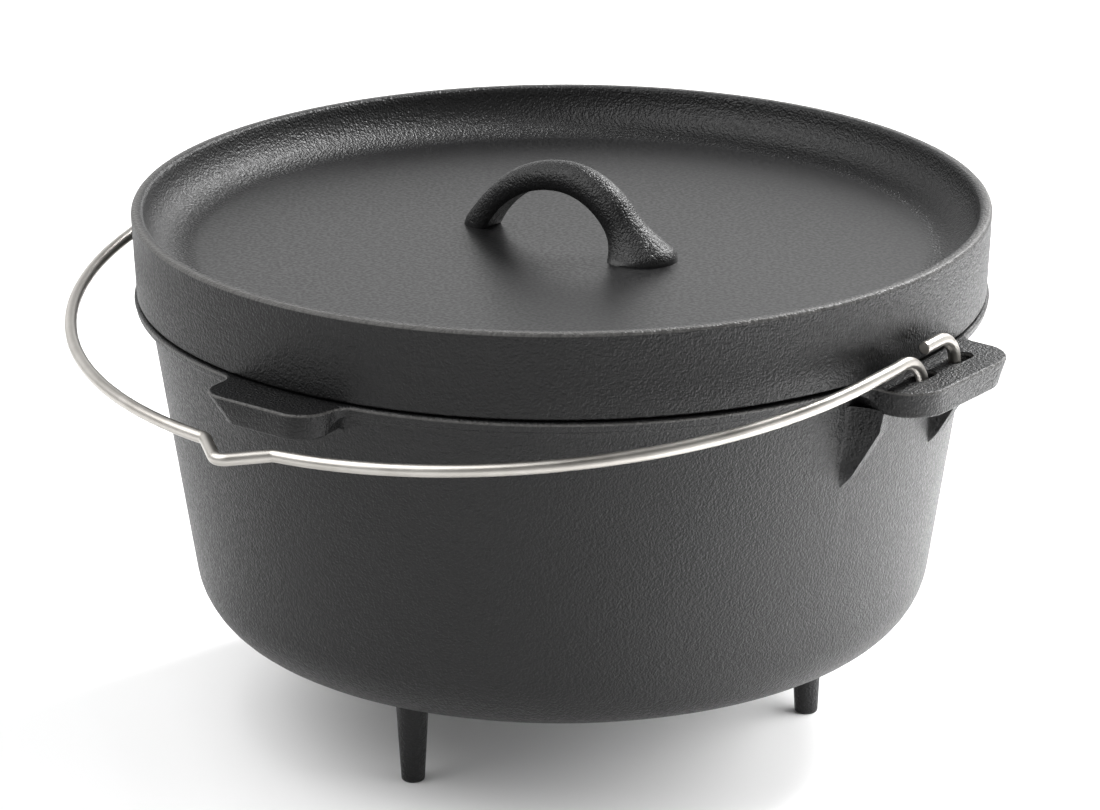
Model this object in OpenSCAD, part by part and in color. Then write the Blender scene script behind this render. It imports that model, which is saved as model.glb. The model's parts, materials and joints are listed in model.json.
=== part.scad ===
// Camp oven: a cast pot on three legs, a dished lift-off lid and a wire bail.
// Lengths are in millimetres and angles in degrees. The pot stands on z = 0 with
// its axis on Z, the bail's ears on X and the lifting tab on -Y.

/* [Pot] */
// outside diameter of the wall at the rim
pot_d = 322; // [290:1:350]
// height from the base's underside to the rim
pot_h = 134.5; // [100:0.5:160]
// lean of the wall away from upright
wall_lean = 8.5; // [5:0.5:11]
// wall thickness
wall_t = 4.5; // [4:0.5:7]
// base thickness
base_t = 5; // [4:0.5:10]
// outside radius between base and wall
base_round = 28; // [18:1:34]
// height of the band round the rim
rim_h = 4; // [3:0.5:8]
// how far the band stands out from the wall
rim_out = 5; // [3:0.5:7]

/* [Legs] */
// height of the base above the ground
leg_h = 41.5; // [25:0.5:60]
// radius of the circle that the legs stand on
leg_circle = 97.5; // [75:0.5:102]
// leg diameter at the base
leg_top_d = 14; // [12:0.5:18]
// leg diameter at the foot
leg_foot_d = 9; // [7:0.5:11]

/* [Ears and tab] */
// thickness of the ears and the tab
ear_t = 10.2; // [9:0.2:12]
// inside radius where they join the rim
ear_blend = 6; // [4:0.5:9]
// reach of a bail ear past the rim
ear_reach = 22.5; // [20:0.5:27]
// width of a bail ear
ear_w = 68; // [66:1:80]
// corner radius of a bail ear
ear_round = 15; // [8:1:18]
// reach of the lifting tab past the rim
tab_reach = 17; // [14:0.5:24]
// width of the lifting tab
tab_w = 53; // [46:1:72]
// corner radius of the lifting tab
tab_round = 8; // [4:1:13]
// angle between the lifting tab and the right ear
tab_turn = 91.2; // [88:0.2:92]
// length of the bail slots
slot_l = 14; // [13.5:0.5:15]
// room beside the wire in the bail slots
slot_play = 1; // [0.6:0.1:2]
// distance between the two bail slots of an ear
slot_pitch = 25.5; // [25:0.5:27]
// thickness of the webs under an ear
web_t = 6; // [4:0.5:7]
// distance between the webs under an ear
web_pitch = 59; // [54:1:62]
// height of the webs
web_h = 33; // [25:1:45]

/* [Lid] */
// height of the lid from its seat to its upper edge
lid_h = 34; // [30:0.5:38]
// how far the lid's lower edge sits inside the rim
lid_inset = 1; // [0.4:0.2:2]
// lean of the lid's side away from upright
lid_lean = 2.5; // [0:0.5:4]
// thickness of the lid's raised edge at the top
lip_t = 5; // [4:0.5:7]
// depth of the tray for the coals
tray_depth = 17; // [12:0.5:19]
// thickness of the lid's plate
plate_t = 5; // [4.5:0.5:8]
// height of the opening under the lid's outer edge
edge_gap = 1; // [0.8:0.1:2]
// depth of the ring that centres the lid in the mouth
ring_h = 6; // [4:0.5:9]
// width of that ring
ring_w = 5; // [4:0.5:7]
// play of that ring in the mouth
ring_play = 1; // [0.6:0.1:2]

/* [Lid handle] */
// distance between the handle's feet
handle_span = 76; // [66:1:90]
// height of the handle above the tray
handle_rise = 32.5; // [29:0.5:40]
// width of the handle
handle_w = 14; // [11:0.5:16]
// diameter of the wide foot
foot_d = 22; // [18:0.5:26]

/* [Bail] */
// wire diameter
wire_d = 4.8; // [4:0.2:5]
// gap between the tab's end and the bail
bail_clear = 16; // [13:0.5:26]
// lean of the bail's legs towards each other
bail_lean = 6.5; // [5:0.1:9]
// how far the resting bail hangs below level
bail_droop = 5.8; // [4:0.2:7]
// height of the bail's plane above its hinge line
bail_lift = 15.3; // [14.5:0.1:16.5]
// play of the eyes round the strip between the slots
eye_play = 0.9; // [0.6:0.1:1.6]
// width of the hanging notch
notch_w = 32; // [28:1:36]

/* [Hidden] */
$fn = 72;
iron = [0.13, 0.13, 0.135];
steel = [0.78, 0.77, 0.75];
rim_z = leg_h + pot_h;
rim_r = pot_d / 2 + rim_out;
edge_soft = 0.8;
arc_steps = 9;
in_round = base_round - 4;
in_base_z = leg_h + base_t;
wall_side = wall_t / cos(wall_lean);
ear_drop = 0.3;
ear_z = rim_z - ear_drop - ear_t;
ear_tip = rim_r + ear_reach;
tab_tip = rim_r + tab_reach;
slot_x = rim_r + 7.5;
hinge_z = ear_z + ear_t / 2;
web_tip = rim_r + 4;
web_low_z = ear_z - web_h;
leg_flare = 2.5;
leg_flare_h = 5;
foot_soft = 1.2;
leg_turns = [30, 150, 270];
lid_low_r = rim_r - lid_inset;
lid_low_z = rim_z + edge_gap;
lid_z = rim_z + lid_h;
lid_r = lid_low_r + (lid_z - lid_low_z) * tan(lid_lean);
tray_z = lid_z - tray_depth;
tray_r = lid_r - lip_t - tray_depth;
plate_z = tray_z - plate_t;
ring_r = mouth_r(rim_z - ring_h) - ring_play;
ring_in = ring_r - ring_w;
ring_soft = 4;
handle_in = 5;
handle_mid = handle_rise - handle_w / 2;
handle_r = (pow(handle_span / 2, 2) + pow(handle_mid, 2)) / (2 * handle_mid);
handle_z = tray_z + handle_mid - handle_r;
handle_root = plate_t / 2;
handle_turn = acos((handle_r - handle_mid - handle_root) / handle_r);
foot_h = 11;
wire_r = wire_d / 2;
joint_len = 1.4;
joint_out = 0.12;
slot_r = wire_r + slot_play;
bridge = (slot_pitch - slot_l) / 2;
eye_r = norm([bridge, ear_t / 2]) + eye_play + wire_r;
stub_rise = 4.6;
stub_r = 11;
stub_turn = 86;
stub_end = 10;
bend_r = 13.5;
knee_y = 28;
knee_r = 20;
bail_reach = tab_tip + bail_clear;
bow_r = (slot_x * cos(bail_lean) + (knee_y - bail_reach) * sin(bail_lean)) / (1 - sin(bail_lean));
bow_y = bail_reach - bow_r;
notch_slope = 48;
notch_bend = 5;
notch_turn = asin(notch_w / 2 / bow_r);
notch_run = (notch_w / 2 + notch_bend * (sin(notch_turn) - 2 * sin(notch_slope))) / cos(notch_slope);

// radius of the wall's outside and of the mouth at height z
function wall_r(z) = pot_d / 2 - (rim_z - z) * tan(wall_lean);
function mouth_r(z) = wall_r(z) - wall_side;
// points along an arc
function arc(c, r, a0, a1) =
  [for (i = [0:arc_steps]) c + r * [cos(a0 + (a1 - a0) * i / arc_steps), sin(a0 + (a1 - a0) * i / arc_steps)]];
function flip(points) = [for (i = [len(points) - 1:-1:0]) [points[i][0], -points[i][1]]];

// half of an ear's or the tab's outline, from inside the wall round to the tip
function ear_half(w, tip, corner) =
  let (blend_y = w / 2 + ear_blend)
  let (blend_x = sqrt(pow(rim_r + ear_blend, 2) - pow(blend_y, 2)))
  let (turn = atan2(-blend_y, -blend_x) + 8)
  concat(
    [[rim_r - 30, w / 2]],
    [[blend_x - 20, w / 2]],
    arc([blend_x, blend_y], ear_blend, turn, -90),
    arc([tip - corner, w / 2 - corner], corner, 90, 0)
  );

module ear_plate(w, tip, corner) {
  half = ear_half(w, tip, corner);
  translate([0, 0, ear_z])
    linear_extrude(ear_t)
      polygon(concat(half, flip(half)));
}

module ear_web(y) {
  translate([0, y + web_t / 2, 0])
    rotate([90, 0, 0])
      linear_extrude(web_t)
        polygon([
          [rim_r - 30, ear_z + 1],
          [web_tip, ear_z + 1],
          [web_tip, ear_z - 2],
          [wall_r(web_low_z) - 4, web_low_z],
          [rim_r - 30, web_low_z]
        ]);
}

module bail_ear() {
  ear_plate(ear_w, ear_tip, ear_round);
  for (side = [-1, 1])
    ear_web(side * web_pitch / 2);
}

module bail_slot() {
  end_y = slot_l / 2 - slot_r;
  linear_extrude(ear_t + 2)
    polygon(concat(arc([0, end_y], slot_r, 0, 180), arc([0, -end_y], slot_r, 180, 360)));
}

module leg() {
  translate([leg_circle, 0, 0]) {
    cylinder(h = foot_soft, d1 = leg_foot_d - 2 * foot_soft, d2 = leg_foot_d);
    translate([0, 0, foot_soft])
      cylinder(h = leg_h - foot_soft + 1, d1 = leg_foot_d, d2 = leg_top_d);
    translate([0, 0, leg_h - leg_flare_h])
      cylinder(h = leg_flare_h + 1, d1 = leg_top_d - 2, d2 = leg_top_d + 2 * leg_flare);
  }
}

module pot_shape() {
  rotate_extrude()
    polygon(concat(
      [[0, leg_h]],
      arc(
        [wall_r(leg_h + base_round) - base_round / cos(wall_lean), leg_h + base_round],
        base_round, -90, -wall_lean
      ),
      [[wall_r(rim_z - rim_h - rim_out), rim_z - rim_h - rim_out]],
      [[rim_r, rim_z - rim_h]],
      [[rim_r, rim_z - edge_soft]],
      [[rim_r - edge_soft, rim_z]],
      [[0, rim_z]]
    ));
}

module pot_hollow() {
  rotate_extrude()
    polygon(concat(
      [[0, in_base_z]],
      arc(
        [mouth_r(in_base_z + in_round) - in_round / cos(wall_lean), in_base_z + in_round],
        in_round, -90, -wall_lean
      ),
      [[mouth_r(rim_z + 1), rim_z + 1]],
      [[0, rim_z + 1]]
    ));
}

module pot() {
  color(iron)
    difference() {
      union() {
        pot_shape();
        for (turn = leg_turns)
          rotate([0, 0, turn])
            leg();
        bail_ear();
        rotate([0, 0, 180])
          bail_ear();
        rotate([0, 0, -tab_turn])
          ear_plate(tab_w, tab_tip, tab_round);
      }
      pot_hollow();
      for (x = [-slot_x, slot_x], y = [-slot_pitch / 2, slot_pitch / 2])
        translate([x, y, ear_z - 1])
          bail_slot();
    }
}

module lid_dish() {
  rotate_extrude()
    polygon(concat(
      [[0, plate_z]],
      arc([ring_in - ring_soft, plate_z - ring_soft], ring_soft, 90, 0),
      [[ring_in, rim_z - ring_h]],
      [[ring_r - edge_soft, rim_z - ring_h]],
      [[ring_r, rim_z - ring_h + edge_soft]],
      [[ring_r, rim_z]],
      [[lid_low_r - edge_gap, rim_z]],
      [[lid_low_r - edge_gap / 3, lid_low_z]],
      [[lid_low_r, lid_low_z + edge_soft]],
      [[lid_r, lid_z - edge_soft]],
      [[lid_r - edge_soft, lid_z]],
      [[lid_r - lip_t + edge_soft, lid_z]],
      arc([tray_r, lid_z], tray_depth, -2, -90),
      [[0, tray_z]]
    ));
}

module lid_handle() {
  translate([0, 0, handle_z])
    rotate([90, 0, 0])
      rotate([0, 0, 90 - handle_turn])
        rotate_extrude(angle = 2 * handle_turn)
          intersection() {
            translate([handle_r, 0])
              circle(d = handle_w);
            translate([handle_r - handle_in, -handle_w])
              square([2 * handle_w, 2 * handle_w]);
          }
  translate([handle_span / 2 - 2, 0, tray_z - handle_root])
    cylinder(h = foot_h + handle_root, d1 = foot_d, d2 = handle_w - 3);
}

module lid() {
  color(iron)
    union() {
      lid_dish();
      lid_handle();
    }
}

// a bent length, a straight length and a joint of the wire, all in one plane;
// turn is the direction of the wire at the joint
module bend(c, r, a0, a1) {
  translate([c[0], c[1], 0])
    rotate([0, 0, a0])
      rotate_extrude(angle = a1 - a0)
        translate([r, 0])
          circle(r = wire_r);
}

module rod(a, b) {
  translate([a[0], a[1], 0])
    rotate([0, 0, atan2(b[1] - a[1], b[0] - a[0])])
      rotate([0, 90, 0])
        cylinder(h = norm(b - a), r = wire_r);
}

module wire_joint(c, turn) {
  translate([c[0], c[1], 0])
    rotate([0, 0, turn])
      rotate([0, 90, 0])
        translate([0, 0, -joint_len / 2])
          cylinder(h = joint_len, r = wire_r + joint_out);
}

// the eye of one end, in the plane across the ear: down one slot, up the other and back over it
module eye() {
  stub_c = [eye_r - stub_r, stub_rise];
  stub_a = stub_c + stub_r * [cos(stub_turn), sin(stub_turn)];
  bend([-eye_r - bend_r, bail_lift - bend_r], bend_r, 0, 90);
  wire_joint([-eye_r, bail_lift - bend_r], 90);
  rod([-eye_r, bail_lift - bend_r], [-eye_r, 0]);
  wire_joint([-eye_r, 0], 90);
  bend([0, 0], eye_r, 180, 360);
  wire_joint([eye_r, 0], 90);
  rod([eye_r, 0], [eye_r, stub_rise]);
  wire_joint([eye_r, stub_rise], 90);
  bend(stub_c, stub_r, 0, stub_turn);
  wire_joint(stub_a, stub_turn + 90);
  rod(stub_a, stub_a + stub_end * [-sin(stub_turn), cos(stub_turn)]);
}

// one leg with half of the bow and half of the notch; side is 1 or -1
module half_bow(side) {
  leg_top = [side * slot_x, -eye_r - bend_r];
  knee_c = [side * (slot_x - knee_r), -knee_y + knee_r * tan(bail_lean / 2)];
  knee_a = [side * slot_x, knee_c[1]];
  knee_b = knee_c + knee_r * [side * cos(bail_lean), -sin(bail_lean)];
  bow_end = [side * bow_r * cos(bail_lean), -bow_y - bow_r * sin(bail_lean)];
  notch_a = [side * bow_r * sin(notch_turn), -bow_y - bow_r * cos(notch_turn)];
  notch_c = notch_a + notch_bend * [side * sin(notch_turn), -cos(notch_turn)];
  notch_b = notch_c + notch_bend * [-side * sin(notch_slope), cos(notch_slope)];
  notch_d = notch_b + notch_run * [-side * cos(notch_slope), -sin(notch_slope)];
  middle = side > 0 ? 0 : 180;
  wire_joint(leg_top, 90);
  rod(leg_top, knee_a);
  wire_joint(knee_a, 90);
  bend(knee_c, knee_r, middle, middle - side * bail_lean);
  wire_joint(knee_b, 90 - side * bail_lean);
  rod(knee_b, bow_end);
  wire_joint(bow_end, 90 - side * bail_lean);
  bend([0, -bow_y], bow_r, middle - side * bail_lean, -90 + side * notch_turn + (side > 0 ? 0 : 360));
  wire_joint(notch_a, side * notch_turn);
  bend(notch_c, notch_bend, 90 + side * notch_turn, 90 + side * notch_slope);
  wire_joint(notch_b, side * notch_slope);
  rod(notch_b, notch_d);
  wire_joint(notch_d, side * notch_slope);
  bend([0, notch_d[1] + notch_bend * cos(notch_slope)], notch_bend, -90, -90 + side * notch_slope);
}

module bail() {
  color(steel)
    translate([0, 0, hinge_z])
      rotate([bail_droop, 0, 0])
        union() {
          for (side = [-1, 1]) {
            translate([side * slot_x, 0, 0])
              rotate([90, 0, 90])
                eye();
            translate([0, 0, bail_lift])
              half_bow(side);
          }
          translate([0, 0, bail_lift])
            wire_joint([0, -notch_peak()], 0);
        }
}

// distance of the notch's outermost point from the hinge line
function notch_peak() =
  bow_y + bow_r * cos(notch_turn) + notch_bend * (cos(notch_turn) - 2 * cos(notch_slope) + 1)
  + notch_run * sin(notch_slope);

pot();
lid();
bail();
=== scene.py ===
"""Looks of a camp oven: a sand-cast pot on three legs, its dished lid and its wire bail."""

import json
import math
from collections import namedtuple

import bmesh
import bpy
from mathutils import Matrix, Vector


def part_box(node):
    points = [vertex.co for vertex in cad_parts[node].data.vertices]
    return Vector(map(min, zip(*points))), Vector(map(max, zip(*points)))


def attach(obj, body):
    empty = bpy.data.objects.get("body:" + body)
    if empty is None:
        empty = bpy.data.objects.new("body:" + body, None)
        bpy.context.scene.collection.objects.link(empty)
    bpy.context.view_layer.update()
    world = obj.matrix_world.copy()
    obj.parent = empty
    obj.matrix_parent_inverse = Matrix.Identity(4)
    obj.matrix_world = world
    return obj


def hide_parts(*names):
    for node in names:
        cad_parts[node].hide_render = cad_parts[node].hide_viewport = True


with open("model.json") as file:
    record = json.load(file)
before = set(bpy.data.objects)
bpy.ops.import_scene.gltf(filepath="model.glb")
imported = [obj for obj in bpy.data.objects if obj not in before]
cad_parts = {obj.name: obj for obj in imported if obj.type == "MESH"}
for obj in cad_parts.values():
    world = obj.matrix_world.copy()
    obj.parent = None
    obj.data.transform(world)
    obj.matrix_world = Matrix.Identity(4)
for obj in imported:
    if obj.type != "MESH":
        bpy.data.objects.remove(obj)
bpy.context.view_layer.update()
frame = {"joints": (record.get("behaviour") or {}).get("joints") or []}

MM = 0.001

# Sizes that the frame gives, in metres
POT_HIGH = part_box("pot")[1]
EAR_TIP = POT_HIGH.x
RIM_R = POT_HIGH.y
RIM_Z = POT_HIGH.z
JOINTS = {joint["name"]: joint for joint in frame["joints"]}
HINGE_Z = JOINTS["bail_swing"]["pos_m"][2]

# Pot
WALL_TOP_R = 161 * MM
WALL_LEAN = math.radians(8.5)
WALL_T = 4.5 * MM
WALL_SIDE = WALL_T / math.cos(WALL_LEAN)
LEG_H = 41.5 * MM
BASE_T = 5 * MM
BASE_ROUND = 28 * MM
INSIDE_ROUND = 24 * MM
RIM_H = 4 * MM
RIM_LAND = 4 * MM
RIM_COVE = 4.2 * MM
RIM_DRAFT = 0.5 * MM
CAST_EDGE = 1.1 * MM

# Places of the pot's plain rings: next to its axis, under its base and on its wall
POT_POLE_R = 20 * MM
BASE_RING_R = 60 * MM
WALL_RING_DROP = 40 * MM

# Legs: each one flares into the base and ends a little inside it
LEG_CIRCLE = 97.5 * MM
LEG_TURNS = (30, 150, 270)
LEG_POLE_R = 1.5 * MM
LEG_TIP_R = 4.5 * MM
LEG_TIP_ROUND = 1.2 * MM
LEG_NECK_R = 6.6 * MM
LEG_FLARE_R = 11 * MM
LEG_FLARE_H = 5 * MM
LEG_FLARE_EDGE = 0.6 * MM
LEG_SINK = 2 * MM

# Ears and tab: each is a widened stretch of the rim. Corners and cuts are for its clockwise and
# anticlockwise sides; a cut is how much narrower that side is below than above.
Ear = namedtuple("Ear", "turn tip half corners cuts")
TAB = Ear(-91.7, RIM_R + 17 * MM, 26.5 * MM, (10 * MM, 12 * MM), (8 * MM, 1 * MM))
RIGHT_EAR = Ear(0, EAR_TIP, 34 * MM, (15 * MM, 15 * MM), (1 * MM, 4.5 * MM))
LEFT_EAR = Ear(180, EAR_TIP, 34 * MM, (15 * MM, 15 * MM), (4.5 * MM, 1 * MM))
EARS = (TAB, RIGHT_EAR, LEFT_EAR)
EAR_T = 10.2 * MM
EAR_DROP = 0.3 * MM
EAR_BLEND = 6 * MM
EAR_EASE = 8 * MM
TIP_DRAFT = 0.6 * MM
TIP_STEPS = 5
RIM_STEPS = (38, 92, 38)
SLOT_X = RIM_R + 7.5 * MM
SLOT_L = 14 * MM
SLOT_R = 3.4 * MM
SLOT_PITCH = 25.5 * MM
SLOT_FLARE = 1 * MM

# Webs: the crest has a hollow above its toe and a shoulder under the ear, each given as a step
# across, a step up or down, and a radius. A side row is a distance from the crest's edge, and the
# share of the crest's reach that is left there.
WEB_PITCH = 59 * MM
WEB_H = 33 * MM
WEB_TIP = RIM_R + 4 * MM
WEB_ROOT = 5 * MM
WEB_SINK = 1 * MM
WEB_TOE = 3 * MM
WEB_HOLLOW = (1 * MM, 4 * MM, 25 * MM)
WEB_SHOULDER = (2 * MM, 9 * MM, 6 * MM)
WEB_EDGE = 1.2 * MM
WEB_EDGE_STEPS = 3
WEB_EDGE_ANGLE = math.radians(40)
WEB_CREST = 2 * MM
WEB_SIDE = ((0, 1), (0.9 * MM, 0.5), (2 * MM, 0.18), (3.6 * MM, 0.06))
WEB_FLARE = ([(-WEB_CREST - out, share) for out, share in reversed(WEB_SIDE)]
             + [(WEB_CREST + out, share) for out, share in WEB_SIDE])

# Lid
EDGE_GAP = 0.6 * MM
LID_H = 34 * MM
LID_Z = RIM_Z + LID_H
LID_INSET = 1 * MM
LID_LOW_R = RIM_R - LID_INSET
LID_LOW_Z = RIM_Z + EDGE_GAP
SKIRT_LEAN = math.radians(2.5)
SKIRT_ROUND = 1.2 * MM
SKIRT_UNDER = 2.5 * MM
SEAT_INSET = 3 * MM
LID_R = LID_LOW_R + (LID_Z - LID_LOW_Z) * math.tan(SKIRT_LEAN)
LIP_T = 5 * MM
LIP_SLOPE = 0.6 * MM
LIP_FOOT = 1.8 * MM
LIP_INNER_ROUND = 1.6 * MM
LIP_OUTER_ROUND = 1.5 * MM
TRAY_DEPTH = 17 * MM
TRAY_Z = LID_Z - TRAY_DEPTH
TRAY_R = LID_R - LIP_T - TRAY_DEPTH
TRAY_EASE = 2 * MM
COVE_END = -8
PLATE_T = 5 * MM
PLATE_Z = TRAY_Z - PLATE_T
PLATE_ROUND = 4 * MM
RING_H = 6 * MM
RING_W = 5 * MM
RING_PLAY = 1 * MM
RING_ROOT_ROUND = 0.8 * MM
RING_ROUND = 1 * MM

# Radii of the lid's plain rings, next to its axis and further out
LID_POLE_R = 25 * MM
LID_RING_R = 70 * MM

# Lid handle: two arcs that meet at its crown, the longer one towards -X. Its width and thickness
# are those at the crown, and grow towards +X. Each foot widens and spreads into the tray. The section
# is a span of a circle, in degrees, cut flat inside; its back is a share of the thickness, and its
# flat a share of the circle's radius.
HandleSide = namedtuple("HandleSide", "bow widen spread")
HANDLE_LEFT = HandleSide(43.9 * MM, 0.1, 4 * MM)
HANDLE_RIGHT = HandleSide(31.9 * MM, 0.8, 20 * MM)
HANDLE_CROWN = Vector((2.5, 0, 25.8)) * MM
HANDLE_W = 14 * MM
HANDLE_W_GAIN = 0.12
HANDLE_T = 11.8 * MM
HANDLE_T_GAIN = 1.6 * MM
HANDLE_SPAN = (-40, 220)
HANDLE_BACK = 0.56
HANDLE_FLAT = -0.72
HANDLE_FOOT_H = 14 * MM
HANDLE_ROOT = 3 * MM
HANDLE_STEPS = 72

# Bail, with its angles in degrees. The notch stands a little off the middle, and the bow eases
# back from that shift on both sides.
WIRE_R = 2.4 * MM
WIRE_SIDES = 18
WIRE_END_ROUND = 0.45 * MM
BAIL_CLEAR = 16 * MM
BAIL_REACH = TAB.tip + BAIL_CLEAR
BAIL_LEAN = 6.5
BAIL_DROOP = 5.8
BAIL_LIFT = 15.3 * MM
EYE_PLAY = 0.9 * MM
EYE_R = math.hypot((SLOT_PITCH - SLOT_L) / 2, EAR_T / 2) + EYE_PLAY + WIRE_R
STUB_RISE = 4.6 * MM
STUB_R = 11 * MM
STUB_TURN = 86
STUB_END = 10 * MM
BEND_R = 13.5 * MM
KNEE_Y = 28 * MM
KNEE_R = 20 * MM
NOTCH_HALF = 17.5 * MM
NOTCH_SLOPE = 40
NOTCH_BEND = 5 * MM
NOTCH_SHIFT = 2 * MM
NOTCH_EASE = 120 * MM

# Edges sharper than this stay sharp in the shading
SMOOTH_ANGLE = math.radians(38)


# Mesh helpers

def polar(radius, degrees, centre=(0, 0)):
    turn = math.radians(degrees)
    return Vector((centre[0] + radius * math.cos(turn), centre[1] + radius * math.sin(turn)))


def arc(centre, radius, start, end, steps):
    """Points of an arc, with its angles in degrees."""
    return [polar(radius, start + (end - start) * i / steps, centre) for i in range(steps + 1)]


def rounded(corners, steps):
    """Points of a line through (x, y, radius) corners, each one rounded by its radius."""
    points = []
    for i, (x, y, radius) in enumerate(corners):
        corner = Vector((x, y))
        if radius == 0:
            points.append(corner)
            continue
        back = (Vector(corners[i - 1][:2]) - corner).normalized()
        onward = (Vector(corners[i + 1][:2]) - corner).normalized()
        half = back.angle(onward) / 2
        centre = corner + (back + onward).normalized() * radius / math.sin(half)
        start = (corner + back * radius / math.tan(half) - centre).normalized()
        end = (corner + onward * radius / math.tan(half) - centre).normalized()
        points += [centre + start.slerp(end, k / steps) * radius for k in range(steps + 1)]
    return points


def show(name, mesh):
    piece = bpy.data.objects.new(name, mesh)
    bpy.context.scene.collection.objects.link(piece)
    return piece


def skin(name, rings, poles=False):
    """A closed mesh over rings of points. Its ends are faces, or with poles single points."""
    made = bmesh.new()
    rows = [[made.verts.new(point) for point in ring] for ring in rings]
    for low, high in zip(rows, rows[1:]):
        for i in range(len(low)):
            j = (i + 1) % len(low)
            made.faces.new((low[i], low[j], high[j], high[i]))
    for row in (rows[0], rows[-1]):
        if not poles:
            made.faces.new(row)
            continue
        middle = sum((vert.co for vert in row), Vector()) / len(row)
        pole = made.verts.new(middle)
        for i in range(len(row)):
            made.faces.new((row[i], row[(i + 1) % len(row)], pole))
    bmesh.ops.recalc_face_normals(made, faces=made.faces)
    mesh = bpy.data.meshes.new(name)
    made.to_mesh(mesh)
    made.free()
    return show(name, mesh)


def lathe(name, profile, steps, centre=(0, 0)):
    """A turned solid. The profile runs from one end of the axis to the other, and leaves out the axis."""
    turns = [360 * i / steps for i in range(steps)]
    rings = [[polar(r, turn, centre).to_3d() + Vector((0, 0, z)) for turn in turns] for r, z in profile]
    return skin(name, rings, poles=True)


def boolean(piece, tools, operation):
    """Joins the tools to the piece, or cuts them from it, and removes them."""
    for tool in tools:
        change = piece.modifiers.new("change", "BOOLEAN")
        change.operation = operation
        change.solver = "EXACT"
        change.object = tool
        view = bpy.context.evaluated_depsgraph_get()
        piece.data = bpy.data.meshes.new_from_object(piece.evaluated_get(view))
        piece.modifiers.clear()
        bpy.data.objects.remove(tool)
    return piece


# Pot

def wall_r(z):
    return WALL_TOP_R - (RIM_Z - z) * math.tan(WALL_LEAN)


def ear_half(side, corner, tip, rim):
    """One half of an ear's outline along +X, from its tip to where it leaves the rim."""
    blend_y = side + EAR_BLEND
    blend_x = math.sqrt((rim + EAR_BLEND) ** 2 - blend_y ** 2)
    leave = math.degrees(math.atan2(-blend_y, -blend_x))
    run = [Vector((tip, (side - corner) * i / TIP_STEPS)) for i in range(TIP_STEPS)]
    run += arc((tip - corner, side - corner), corner, 0, 90, steps=9)
    run += [Vector((tip - corner, side)).lerp(Vector((blend_x, side)), share) for share in (1 / 3, 2 / 3)]
    return run + arc((blend_x, blend_y), EAR_BLEND, -90, leave, steps=7)


def ear_outline(ear, low):
    """An ear's whole outline, anticlockwise, at its top or, with low, at its underside."""
    tip = ear.tip - TIP_DRAFT * low
    rim = RIM_R - RIM_DRAFT * low
    clockwise, anticlockwise = [ear_half(ear.half - cut * low, corner, tip, rim)
                                for cut, corner in zip(ear.cuts, ear.corners)]
    mirrored = [Vector((p.x, -p.y)) for p in reversed(clockwise[1:])]
    place = Matrix.Rotation(math.radians(ear.turn), 2)
    return [place @ p for p in mirrored + anticlockwise]


def rim_outline(low):
    """The rim's closed outline with its ears and tab, anticlockwise from the tab."""
    ears = [ear_outline(ear, low) for ear in EARS]
    outline = []
    for ear, following, steps in zip(ears, ears[1:] + ears[:1], RIM_STEPS):
        start, end = ear[-1], following[0]
        sweep = -start.angle_signed(end) % math.tau
        outline += ear
        outline += [Matrix.Rotation(sweep * i / steps, 2) @ start for i in range(1, steps)]
    return outline


def inward(outline):
    """Unit vectors across a closed outline, towards its inside."""
    found = []
    for i in range(len(outline)):
        along = (outline[(i + 1) % len(outline)] - outline[i - 1]).normalized()
        found.append(Vector((-along.y, along.x)))
    return found


def turned(outline, r, z):
    """A level circle, with a point in the direction of each point of the outline."""
    return [(p.normalized() * r).to_3d() + Vector((0, 0, z)) for p in outline]


def quarter_turn(steps):
    return [math.radians(90 * i / steps) for i in range(steps + 1)]


def pot_rings():
    """Rings of the pot from the middle of its floor, over its rim and ears, to the middle of its base."""
    upper = rim_outline(0)
    lower = rim_outline(1)
    upper_in = inward(upper)
    lower_in = inward(lower)
    reach = [max(0, min(1, (p.length - RIM_R) / EAR_EASE)) for p in upper]
    top_z = [RIM_Z - EAR_DROP * share for share in reach]
    low_z = [RIM_Z - RIM_H - (EAR_DROP + EAR_T - RIM_H) * share for share in reach]

    mouth = wall_r(RIM_Z) - WALL_SIDE
    floor_z = LEG_H + BASE_T
    inside = rounded([
        (POT_POLE_R, floor_z, 0),
        (wall_r(floor_z) - WALL_SIDE, floor_z, INSIDE_ROUND),
        (mouth, RIM_Z, CAST_EDGE),
        (mouth + RIM_LAND, RIM_Z, 0),
    ], steps=8)
    outside = rounded([
        (wall_r(RIM_Z - WALL_RING_DROP), RIM_Z - WALL_RING_DROP, 0),
        (wall_r(LEG_H), LEG_H, BASE_ROUND),
        (BASE_RING_R, LEG_H, 0),
        (POT_POLE_R, LEG_H, 0),
    ], steps=12)

    rings = [turned(upper, r, z) for r, z in inside]
    for t in quarter_turn(steps=4):
        inset = CAST_EDGE * (1 - math.sin(t))
        drop = CAST_EDGE * (1 - math.cos(t))
        rings.append([(p + n * inset).to_3d() + Vector((0, 0, z - drop))
                      for p, n, z in zip(upper, upper_in, top_z)])
    for t in quarter_turn(steps=4):
        inset = CAST_EDGE * (1 - math.cos(t))
        lift = CAST_EDGE * (1 - math.sin(t))
        rings.append([(p + n * inset).to_3d() + Vector((0, 0, z + lift))
                      for p, n, z in zip(lower, lower_in, low_z)])
    for t in quarter_turn(steps=7):
        ring = []
        for p, n, z in zip(lower, lower_in, low_z):
            out = (p + n * CAST_EDGE).normalized()
            low = z - RIM_COVE * (1 - math.cos(t))
            radius = wall_r(z - RIM_COVE) + RIM_COVE * (1 - math.sin(t))
            ring.append((out * radius).to_3d() + Vector((0, 0, low)))
        rings.append(ring)
    return rings + [turned(lower, r, z) for r, z in outside]


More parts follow.
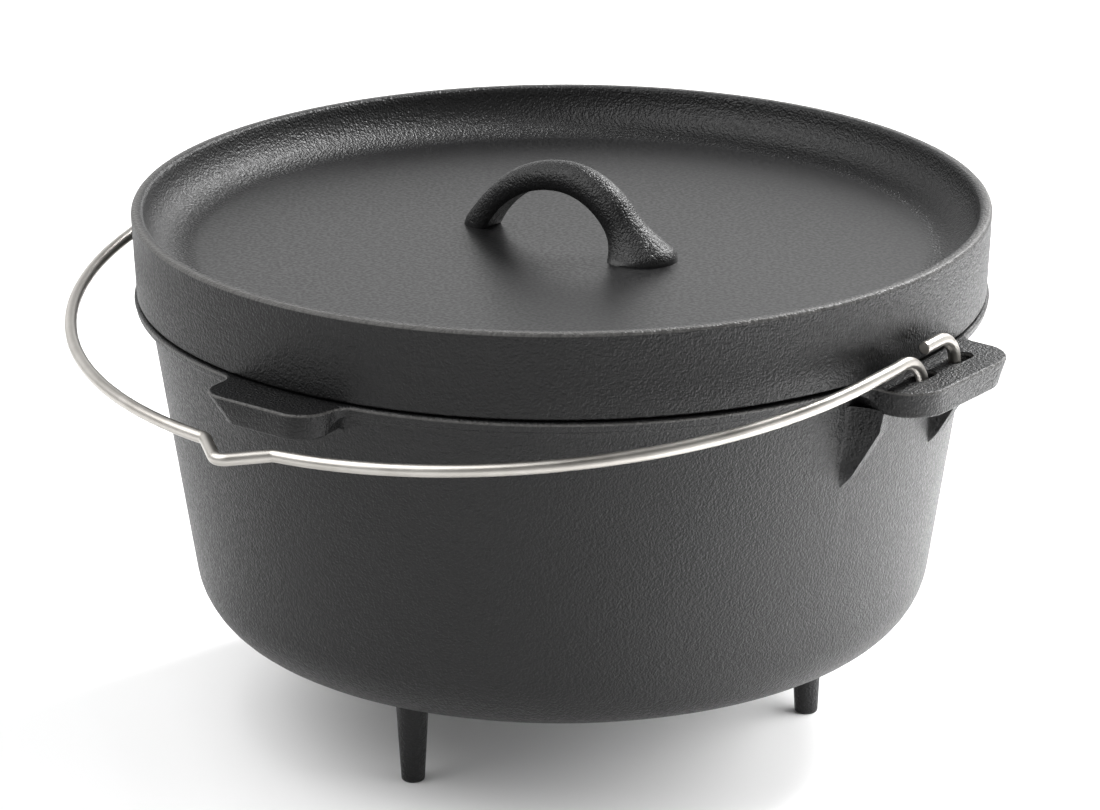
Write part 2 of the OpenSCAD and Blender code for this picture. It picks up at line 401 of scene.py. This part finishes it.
def leg(turn):
    profile = rounded([
        (LEG_POLE_R, 0, 0),
        (LEG_TIP_R, 0, LEG_TIP_ROUND),
        (LEG_NECK_R, LEG_H - LEG_FLARE_H, LEG_FLARE_H),
        (LEG_FLARE_R, LEG_H - LEG_FLARE_EDGE, 0),
        (LEG_FLARE_R, LEG_H + LEG_SINK, 0),
        (2 * LEG_POLE_R, LEG_H + LEG_SINK, 0),
    ], steps=7)
    return lathe("leg", profile, steps=40, centre=polar(LEG_CIRCLE, turn))


def web_root(z):
    return wall_r(z) - WEB_ROOT


def web(end, side):
    """One of the two fins under an ear, flared into the wall; end and side are 1 or -1."""
    top = RIM_Z - EAR_DROP - EAR_T + WEB_SINK
    foot = top - WEB_H
    toe = foot - WEB_TOE
    hollow_out, hollow_up, hollow_r = WEB_HOLLOW
    shoulder_in, shoulder_down, shoulder_r = WEB_SHOULDER
    crest = rounded([
        (web_root(toe), toe, 0),
        (wall_r(foot) + hollow_out, foot + hollow_up, hollow_r),
        (WEB_TIP - shoulder_in, top - shoulder_down, shoulder_r),
        (WEB_TIP, top, 0),
    ], steps=5)
    rings = []
    for offset, share in WEB_FLARE:
        outline = [(web_root(z) + (x - web_root(z)) * share, z) for x, z in crest] + [(web_root(top), top)]
        rings.append([Vector((end * x, side * WEB_PITCH / 2 + offset, z)) for x, z in outline])
    piece = skin("web", rings)
    soften = piece.modifiers.new("soften", "BEVEL")
    soften.width = WEB_EDGE
    soften.segments = WEB_EDGE_STEPS
    soften.limit_method = "ANGLE"
    soften.angle_limit = WEB_EDGE_ANGLE
    return piece


def bail_slot(end, side):
    """The cutter of a bail slot, with flared ends that round its edges."""
    low = RIM_Z - EAR_DROP - EAR_T
    profile = rounded([
        (SLOT_R + 2 * SLOT_FLARE, RIM_Z + 1.5 * SLOT_FLARE, 0),
        (SLOT_R, RIM_Z - SLOT_FLARE, 2 * SLOT_FLARE),
        (SLOT_R, low + SLOT_FLARE, 2 * SLOT_FLARE),
        (SLOT_R + 2 * SLOT_FLARE, low - 1.5 * SLOT_FLARE, 0),
    ], steps=6)
    x, y = end * SLOT_X, side * SLOT_PITCH / 2
    half = SLOT_L / 2 - SLOT_R
    rings = []
    for r, z in profile:
        outline = arc((x, y + half), r, 0, 180, steps=16) + arc((x, y - half), r, 180, 360, steps=16)
        rings.append([p.to_3d() + Vector((0, 0, z)) for p in outline])
    return skin("slot", rings)


def pot():
    both = [(end, side) for end in (1, -1) for side in (1, -1)]
    piece = skin("pot_casting", pot_rings(), poles=True)
    boolean(piece, [leg(turn) for turn in LEG_TURNS] + [web(*pair) for pair in both], "UNION")
    return boolean(piece, [bail_slot(*pair) for pair in both], "DIFFERENCE")


# Lid

def lid_dish():
    ring_r = wall_r(RIM_Z - RING_H) - WALL_SIDE - RING_PLAY
    ring_in = ring_r - RING_W
    profile = [Vector((r, TRAY_Z)) for r in (LID_POLE_R, LID_RING_R, TRAY_R - TRAY_EASE)]
    profile += arc((TRAY_R, LID_Z), TRAY_DEPTH, -90, COVE_END, steps=14)
    profile += rounded([
        (LID_R - LIP_T, LID_Z - LIP_FOOT, 0),
        (LID_R - LIP_T + LIP_SLOPE, LID_Z, LIP_INNER_ROUND),
        (LID_R, LID_Z, LIP_OUTER_ROUND),
        (LID_LOW_R, LID_LOW_Z, SKIRT_ROUND),
        (LID_LOW_R - SKIRT_UNDER, LID_LOW_Z, 0),
        (LID_LOW_R - SEAT_INSET, RIM_Z, 0),
        (ring_r, RIM_Z, RING_ROOT_ROUND),
        (ring_r, RIM_Z - RING_H, RING_ROUND),
        (ring_in, RIM_Z - RING_H, RING_ROUND),
        (ring_in, PLATE_Z, PLATE_ROUND),
        (LID_RING_R, PLATE_Z, 0),
        (LID_POLE_R, PLATE_Z, 0),
    ], steps=5)
    return lathe("lid_casting", profile, steps=288)


def handle_section(width, thick):
    """A round-backed section with a flat inner side, as (across, outward) points."""
    back = arc((0, 0), 1, *HANDLE_SPAN, steps=26)
    across = width / 2
    return [Vector((p.x * across, max(p.y, HANDLE_FLAT) * (thick * HANDLE_BACK))) for p in back]


def lid_handle():
    crown = HANDLE_CROWN + Vector((0, 0, TRAY_Z))
    rings = []
    for i in range(HANDLE_STEPS + 1):
        share = 2 * i / HANDLE_STEPS - 1
        side = HANDLE_RIGHT if share > 0 else HANDLE_LEFT
        turn = share * math.acos((side.bow - HANDLE_CROWN.z - HANDLE_ROOT) / side.bow)
        out = Vector((math.sin(turn), 0, math.cos(turn)))
        spine = crown + (out - Vector((0, 0, 1))) * side.bow
        height = max(0, spine.z - TRAY_Z)
        foot = max(0, 1 - height / HANDLE_FOOT_H) ** 2
        width = HANDLE_W * (1 + HANDLE_W_GAIN * share) * (1 + foot * side.widen)
        thick = HANDLE_T + HANDLE_T_GAIN * share
        spread = foot * side.spread
        rings.append([spine + Vector((0, p.x, 0)) + out * (p.y + spread * max(0, p.y / thick))
                      for p in handle_section(width, thick)])
    return skin("handle", rings)


def lid():
    return boolean(lid_dish(), [lid_handle()], "UNION")


# Bail

def bail_path():
    """The wire's middle line, from one end to the other, as it rests."""
    lean = math.radians(BAIL_LEAN)
    bow_r = (SLOT_X * math.cos(lean) + (KNEE_Y - BAIL_REACH) * math.sin(lean)) / (1 - math.sin(lean))
    bow_y = BAIL_REACH - bow_r
    notch_turn = math.asin(NOTCH_HALF / bow_r)
    slope = math.radians(NOTCH_SLOPE)
    run = (NOTCH_HALF + NOTCH_BEND * (math.sin(notch_turn) - 2 * math.sin(slope))) / math.cos(slope)
    bend_y = -bow_y - (bow_r + NOTCH_BEND) * math.cos(notch_turn)
    bend_x = (bow_r + NOTCH_BEND) * math.sin(notch_turn)
    peak_y = bend_y + 2 * NOTCH_BEND * math.cos(slope) - run * math.sin(slope)
    start = 90 + math.degrees(notch_turn)

    stub = arc((EYE_R - STUB_R, STUB_RISE), STUB_R, STUB_TURN, 0, steps=14)
    eye = [stub[0] + polar(STUB_END, STUB_TURN + 90)] + stub
    eye += arc((0, 0), EYE_R, 360, 180, steps=24)
    eye += arc((-EYE_R - BEND_R, BAIL_LIFT - BEND_R), BEND_R, 0, 90, steps=10)
    bow = arc((SLOT_X - KNEE_R, -KNEE_Y + KNEE_R * math.tan(lean / 2)), KNEE_R, 0, -BAIL_LEAN, steps=6)
    bow += arc((0, -bow_y), bow_r, -BAIL_LEAN, start - 180, steps=60)
    bow += arc((bend_x, bend_y), NOTCH_BEND, start, 90 + NOTCH_SLOPE, steps=8)[1:]
    bow += arc((0, peak_y), NOTCH_BEND, NOTCH_SLOPE - 90, -90, steps=8)
    half = [Vector((SLOT_X, y, z)) for y, z in eye]
    half += [Vector((x, y, BAIL_LIFT)) for x, y in bow]
    path = half + [Vector((-p.x, p.y, p.z)) for p in reversed(half[:-1])]
    for p in path:
        near = 1 - min(1, abs(p.x) / NOTCH_EASE)
        p.x += NOTCH_SHIFT * near * near * (3 - 2 * near)
    place = Matrix.Translation((0, 0, HINGE_Z)) @ Matrix.Rotation(math.radians(BAIL_DROOP), 4, "X")
    return [place @ p for p in path]


def wire(name, path, radius):
    """A round wire along a path, with slightly rounded ends."""
    along = [(b - a).normalized() for a, b in zip(path, path[1:])]
    heading = [along[0]] + [(a + b).normalized() for a, b in zip(along, along[1:])] + [along[-1]]
    turns = [math.tau * k / WIRE_SIDES for k in range(WIRE_SIDES)]
    first_end = [(WIRE_END_ROUND * (1 - math.sin(t)), radius - WIRE_END_ROUND * (1 - math.cos(t)))
                 for t in (math.pi / 2, math.pi / 4, 0)]
    last_end = [(-shift, r) for shift, r in reversed(first_end)]
    across = heading[0].orthogonal().normalized()
    rings = []
    for i, (point, ahead) in enumerate(zip(path, heading)):
        across = (across - ahead * across.dot(ahead)).normalized()
        up = ahead.cross(across)
        circle = [across * math.cos(turn) + up * math.sin(turn) for turn in turns]
        stations = [(0, radius)]
        if i == 0:
            stations = first_end
        if i == len(path) - 1:
            stations = last_end
        for shift, r in stations:
            rings.append([point + ahead * shift + spoke * r for spoke in circle])
    return skin(name, rings)


def bail():
    return wire("bail_wire", bail_path(), WIRE_R)


# Materials

# Places of the sockets of a mix node that are for colours: its share, its two colours, its result
MIX_SHARE = 0
MIX_LOW = 6
MIX_HIGH = 7
MIX_RESULT = 2

# Noises, each as its scale, detail and roughness; a ramp spreads out the range MOTTLE of a noise
GRAIN = (1250, 1, 0.5)
PEEL = (700, 1, 0.5)
IRON_CLOUD = (14, 3, 0.55)
WIRE_FINE = (900, 2, 0.6)
WIRE_CLOUD = (60, 3, 0.6)
FLOOR_CLOUD = (3, 2, 0.5)
MOTTLE = (0.3, 0.7)

# Cast iron; the height that bumps it is a sum of shares of grain and peel
GRAIN_SHARE = 0.55
PEEL_SHARE = 0.45
IRON_BUMP = 0.75 * MM
IRON_DARK = (0.002, 0.002, 0.0022, 1)
IRON_LIGHT = (0.004, 0.004, 0.0042, 1)
IRON_SPECK = (0.008, 0.008, 0.0085, 1)
# The rim's lighter colour: partly wear, partly a painted highlight along the edge
IRON_WEAR_AND_HIGHLIGHT = (0.085, 0.083, 0.08, 1)
IRON_ROUGHNESS = (0.39, 0.51)
IRON_SPECULAR = 0.36
SPECK_RAMP = (0.35, 0.7, 0, 0.6)

# The tray's floor is smoother and glossier than the rest of the lid
TRAY_EDGE = (TRAY_R - 6 * MM, TRAY_R + 3 * MM)
TRAY_RISE = (TRAY_Z + 0.5 * MM, TRAY_Z + 3 * MM)
TRAY_BUMP_SHARE = 0.06
TRAY_ROUGHNESS_SHIFT = -0.06

# Rubbed edges that also carry a painted highlight: a lighter band of heights on each casting, near the
# outer edge, broken up by the peel. The band is partly wear and partly a painted highlight along the rim's
# edge.
POT_WEAR_AND_HIGHLIGHT = (RIM_Z - 1.5 * MM, RIM_Z - 0.35 * MM)
LID_WEAR_AND_HIGHLIGHT = (LID_Z - 1.5 * MM, LID_Z + 1 * MM)
WEAR_AND_HIGHLIGHT_R = (LID_R - 4 * MM, LID_R - 1 * MM)
WEAR_AND_HIGHLIGHT_FADE_IN = 0.5 * MM
WEAR_AND_HIGHLIGHT_FADE_OUT = 0.2 * MM
WEAR_AND_HIGHLIGHT_PEEL = (0.25, 0.7, 0.6, 1)

# Steel wire
STEEL_DARK = (0.43, 0.41, 0.38, 1)
STEEL_LIGHT = (0.52, 0.50, 0.47, 1)
STEEL_ROUGHNESS = (0.34, 0.42)
STEEL_BUMP = 0.2 * MM
STEEL_BUMP_STRENGTH = 0.08


class Nodes:
    """Short ways to add nodes to a node tree."""

    def __init__(self, tree):
        self.tree = tree

    def add(self, kind, settings=(), **values):
        node = self.tree.nodes.new(kind)
        for key, value in dict(settings).items():
            setattr(node, key, value)
        for key, value in values.items():
            self.put(node.inputs[key.replace("_", " ")], value)
        return node

    def put(self, socket, value):
        if isinstance(value, bpy.types.NodeSocket):
            self.tree.links.new(value, socket)
        else:
            socket.default_value = value

    def math(self, operation, a, b=0.0):
        node = self.add("ShaderNodeMath", {"operation": operation})
        self.put(node.inputs[0], a)
        self.put(node.inputs[1], b)
        return node.outputs[0]

    def ramp(self, value, low, high, to_low, to_high):
        node = self.add("ShaderNodeMapRange", {"interpolation_type": "SMOOTHSTEP"}, Value=value)
        for key, number in (("From Min", low), ("From Max", high), ("To Min", to_low), ("To Max", to_high)):
            node.inputs[key].default_value = number
        return node.outputs[0]

    def mix(self, share, low, high):
        node = self.add("ShaderNodeMix", {"data_type": "RGBA"})
        for place, value in ((MIX_SHARE, share), (MIX_LOW, low), (MIX_HIGH, high)):
            self.put(node.inputs[place], value)
        return node.outputs[MIX_RESULT]


class Surface(Nodes):
    """A node material with its Principled shader."""

    def __init__(self, name):
        self.material = bpy.data.materials.new(name)
        self.material.use_nodes = True
        super().__init__(self.material.node_tree)
        self.shader = self.tree.nodes["Principled BSDF"]
        self.place = self.add("ShaderNodeTexCoord").outputs["Object"]

    def noise(self, scale, detail, roughness):
        made = self.add("ShaderNodeTexNoise", Vector=self.place,
                        Scale=scale, Detail=detail, Roughness=roughness)
        return made.outputs["Fac"]

    def radius_and_height(self):
        parts = self.add("ShaderNodeSeparateXYZ", Vector=self.place)
        x, y, z = parts.outputs
        squares = self.math("ADD", self.math("MULTIPLY", x, x), self.math("MULTIPLY", y, y))
        return self.math("SQRT", squares), z

    def set(self, **values):
        for key, value in values.items():
            self.put(self.shader.inputs[key.replace("_", " ")], value)


def wear_and_highlight(surface, radius, z, peel, low, high):
    """Where a casting is rubbed and a highlight is painted on: between two heights, near its outer edge."""
    band = surface.math("MULTIPLY", surface.ramp(z, low, low + WEAR_AND_HIGHLIGHT_FADE_IN, 0, 1),
                        surface.ramp(z, high - WEAR_AND_HIGHLIGHT_FADE_OUT, high, 1, 0))
    band = surface.math("MULTIPLY", band, surface.ramp(radius, *WEAR_AND_HIGHLIGHT_R, 0, 1))
    return surface.math("MULTIPLY", band, surface.ramp(peel, *WEAR_AND_HIGHLIGHT_PEEL))


def iron(name, wear_and_highlight_heights, tray=False):
    """Seasoned sand-cast iron, rubbed brighter on the rim between two heights, partly wear and partly a
    painted highlight; a lid's tray is smoother.
    """
    surface = Surface(name)
    radius, z = surface.radius_and_height()
    grain = surface.noise(*GRAIN)
    peel = surface.noise(*PEEL)
    cloud = surface.noise(*IRON_CLOUD)
    height = surface.math("ADD", surface.math("MULTIPLY", grain, GRAIN_SHARE),
                          surface.math("MULTIPLY", peel, PEEL_SHARE))
    strength = 1.0
    roughness = surface.ramp(peel, *MOTTLE, *IRON_ROUGHNESS)
    if tray:
        outer = surface.ramp(radius, *TRAY_EDGE, 0, 1)
        raised = surface.ramp(z, *TRAY_RISE, 0, 1)
        coarse = surface.math("MAXIMUM", outer, raised)
        strength = surface.ramp(coarse, 0, 1, TRAY_BUMP_SHARE, strength)
        roughness = surface.math("ADD", roughness, surface.ramp(coarse, 0, 1, TRAY_ROUGHNESS_SHIFT, 0))
    bump = surface.add("ShaderNodeBump", Height=height, Strength=strength, Distance=IRON_BUMP)
    shade = surface.mix(surface.ramp(cloud, *MOTTLE, 0, 1), IRON_DARK, IRON_LIGHT)
    shade = surface.mix(surface.ramp(grain, *SPECK_RAMP), shade, IRON_SPECK)
    # The base colour carries the rim's lighter band, partly wear and partly a painted highlight
    surface.set(
        Base_Color=surface.mix(wear_and_highlight(surface, radius, z, peel, *wear_and_highlight_heights), shade, IRON_WEAR_AND_HIGHLIGHT),
        Roughness=roughness,
        Specular_IOR_Level=IRON_SPECULAR,
        Normal=bump.outputs[0],
    )
    return surface.material


def steel():
    """Drawn stainless wire with a satin surface."""
    surface = Surface("satin_steel")
    fine = surface.noise(*WIRE_FINE)
    cloud = surface.noise(*WIRE_CLOUD)
    bump = surface.add("ShaderNodeBump", Height=fine, Strength=STEEL_BUMP_STRENGTH, Distance=STEEL_BUMP)
    surface.set(
        Base_Color=surface.mix(surface.ramp(cloud, *MOTTLE, 0, 1), STEEL_DARK, STEEL_LIGHT),
        Metallic=1.0,
        Roughness=surface.ramp(cloud, *MOTTLE, *STEEL_ROUGHNESS),
        Normal=bump.outputs[0],
    )
    return surface.material


# Stage

CAMERA_TARGET = Vector((-3.8, -2.8, 125.5)) * MM
CAMERA_DISTANCE = 2.0
CAMERA_TURN = math.radians(36.5)
CAMERA_RISE = math.radians(19.148)
CAMERA_ROLL = math.radians(-0.19)
CAMERA_LENS = 166.74
SENSOR_WIDTH = 36
FLOOR_HALF = 6
FLOOR_DARK = (0.91, 0.91, 0.91, 1)
FLOOR_LIGHT = (0.94, 0.94, 0.94, 1)
FLOOR_ROUGHNESS = 0.9
FLOOR_SPECULAR = 0.1

# The surround's strength, as ramps over the height of a direction and over how far behind it points
SURROUND_TURN = math.radians(5)
SURROUND_BY_HEIGHT = (0.3, 0.7, 1.4, 0.06)
SURROUND_BY_SIDE = (-1, 1, 0.3, 1.1)
LIGHT_TARGET = (0, 0, 0.12)


def camera():
    lens = bpy.data.cameras.new("camera")
    lens.lens = CAMERA_LENS
    lens.sensor_width = SENSOR_WIDTH
    eye = bpy.data.objects.new("camera", lens)
    bpy.context.scene.collection.objects.link(eye)
    eye.matrix_world = (
        Matrix.Translation(CAMERA_TARGET)
        @ Matrix.Rotation(CAMERA_TURN, 4, "Z")
        @ Matrix.Rotation(math.pi / 2 - CAMERA_RISE, 4, "X")
        @ Matrix.Translation((0, 0, CAMERA_DISTANCE))
        @ Matrix.Rotation(CAMERA_ROLL, 4, "Z")
    )
    bpy.context.scene.camera = eye


def lamp(name, place, width, height, watts):
    light = bpy.data.lights.new(name, "AREA")
    light.shape = "RECTANGLE"
    light.size = width
    light.size_y = height
    light.energy = watts
    box = bpy.data.objects.new(name, light)
    bpy.context.scene.collection.objects.link(box)
    box.matrix_world = place


def softbox(name, turn, rise, distance, width, height, watts):
    """A light that faces the pot; turn and rise, in degrees, say where it stands as seen from the pot."""
    place = (
        Matrix.Translation(LIGHT_TARGET)
        @ Matrix.Rotation(math.radians(turn), 4, "Z")
        @ Matrix.Rotation(math.pi / 2 - math.radians(rise), 4, "X")
        @ Matrix.Translation((0, 0, distance))
    )
    lamp(name, place, width, height, watts)


def floor_box(name, turn, distance, above, width, height, watts):
    """A light that faces straight down, beside the pot and a little above the floor."""
    place = Matrix.Rotation(math.radians(turn), 4, "Z") @ Matrix.Translation((0, -distance, above))
    lamp(name, place, width, height, watts)


def floor():
    mesh = bpy.data.meshes.new("floor")
    corners = [(-FLOOR_HALF, -FLOOR_HALF, 0), (FLOOR_HALF, -FLOOR_HALF, 0),
               (FLOOR_HALF, FLOOR_HALF, 0), (-FLOOR_HALF, FLOOR_HALF, 0)]
    mesh.from_pydata(corners, [], [(0, 1, 2, 3)])
    piece = show("floor", mesh)
    surface = Surface("pale_floor")
    shade = surface.mix(surface.noise(*FLOOR_CLOUD), FLOOR_DARK, FLOOR_LIGHT)
    surface.set(Base_Color=shade, Roughness=FLOOR_ROUGHNESS, Specular_IOR_Level=FLOOR_SPECULAR)
    mesh.materials.append(surface.material)


def surround():
    """A soft surround, bright along the horizon and darker overhead and in front."""
    world = bpy.data.worlds.new("studio")
    world.use_nodes = True
    sky = Nodes(world.node_tree)
    towards = sky.add("ShaderNodeTexCoord").outputs["Generated"]
    x, y, z = sky.add("ShaderNodeSeparateXYZ", Vector=towards).outputs
    behind = sky.math("SUBTRACT", sky.math("MULTIPLY", y, math.cos(SURROUND_TURN)),
                      sky.math("MULTIPLY", x, math.sin(SURROUND_TURN)))
    strength = sky.math("MULTIPLY", sky.ramp(z, *SURROUND_BY_HEIGHT), sky.ramp(behind, *SURROUND_BY_SIDE))
    background = world.node_tree.nodes["Background"]
    sky.put(background.inputs["Color"], (1, 1, 1, 1))
    sky.put(background.inputs["Strength"], strength)
    bpy.context.scene.world = world


def studio():
    """The surround, with boxes behind at the right, high at the left, and low at the right."""
    surround()
    bpy.context.scene.view_settings.view_transform = "Standard"
    softbox("key_box", turn=172, rise=43, distance=1.5, width=0.45, height=0.45, watts=34)
    softbox("left_box", turn=-40, rise=55, distance=1.9, width=2.0, height=2.0, watts=48)
    floor_box("side_box", turn=118, distance=0.58, above=0.19, width=0.6, height=0.6, watts=8)


def finish_piece(piece, body, material):
    """Shades a piece smoothly, gives it its material, parents it to its body's empty and hides that body's
    CAD part.
    """
    piece.data.materials.clear()
    piece.data.materials.append(material)
    piece.data.polygons.foreach_set("use_smooth", [True] * len(piece.data.polygons))
    piece.data.set_sharp_from_angle(angle=SMOOTH_ANGLE)
    even = piece.modifiers.new("even_normals", "WEIGHTED_NORMAL")
    even.keep_sharp = True
    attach(piece, body)
    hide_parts(body)


camera()
finish_piece(pot(), "pot", iron("pot_cast_iron", POT_WEAR_AND_HIGHLIGHT))
finish_piece(lid(), "lid", iron("lid_cast_iron", LID_WEAR_AND_HIGHLIGHT, tray=True))
finish_piece(bail(), "bail", steel())
floor()
studio()
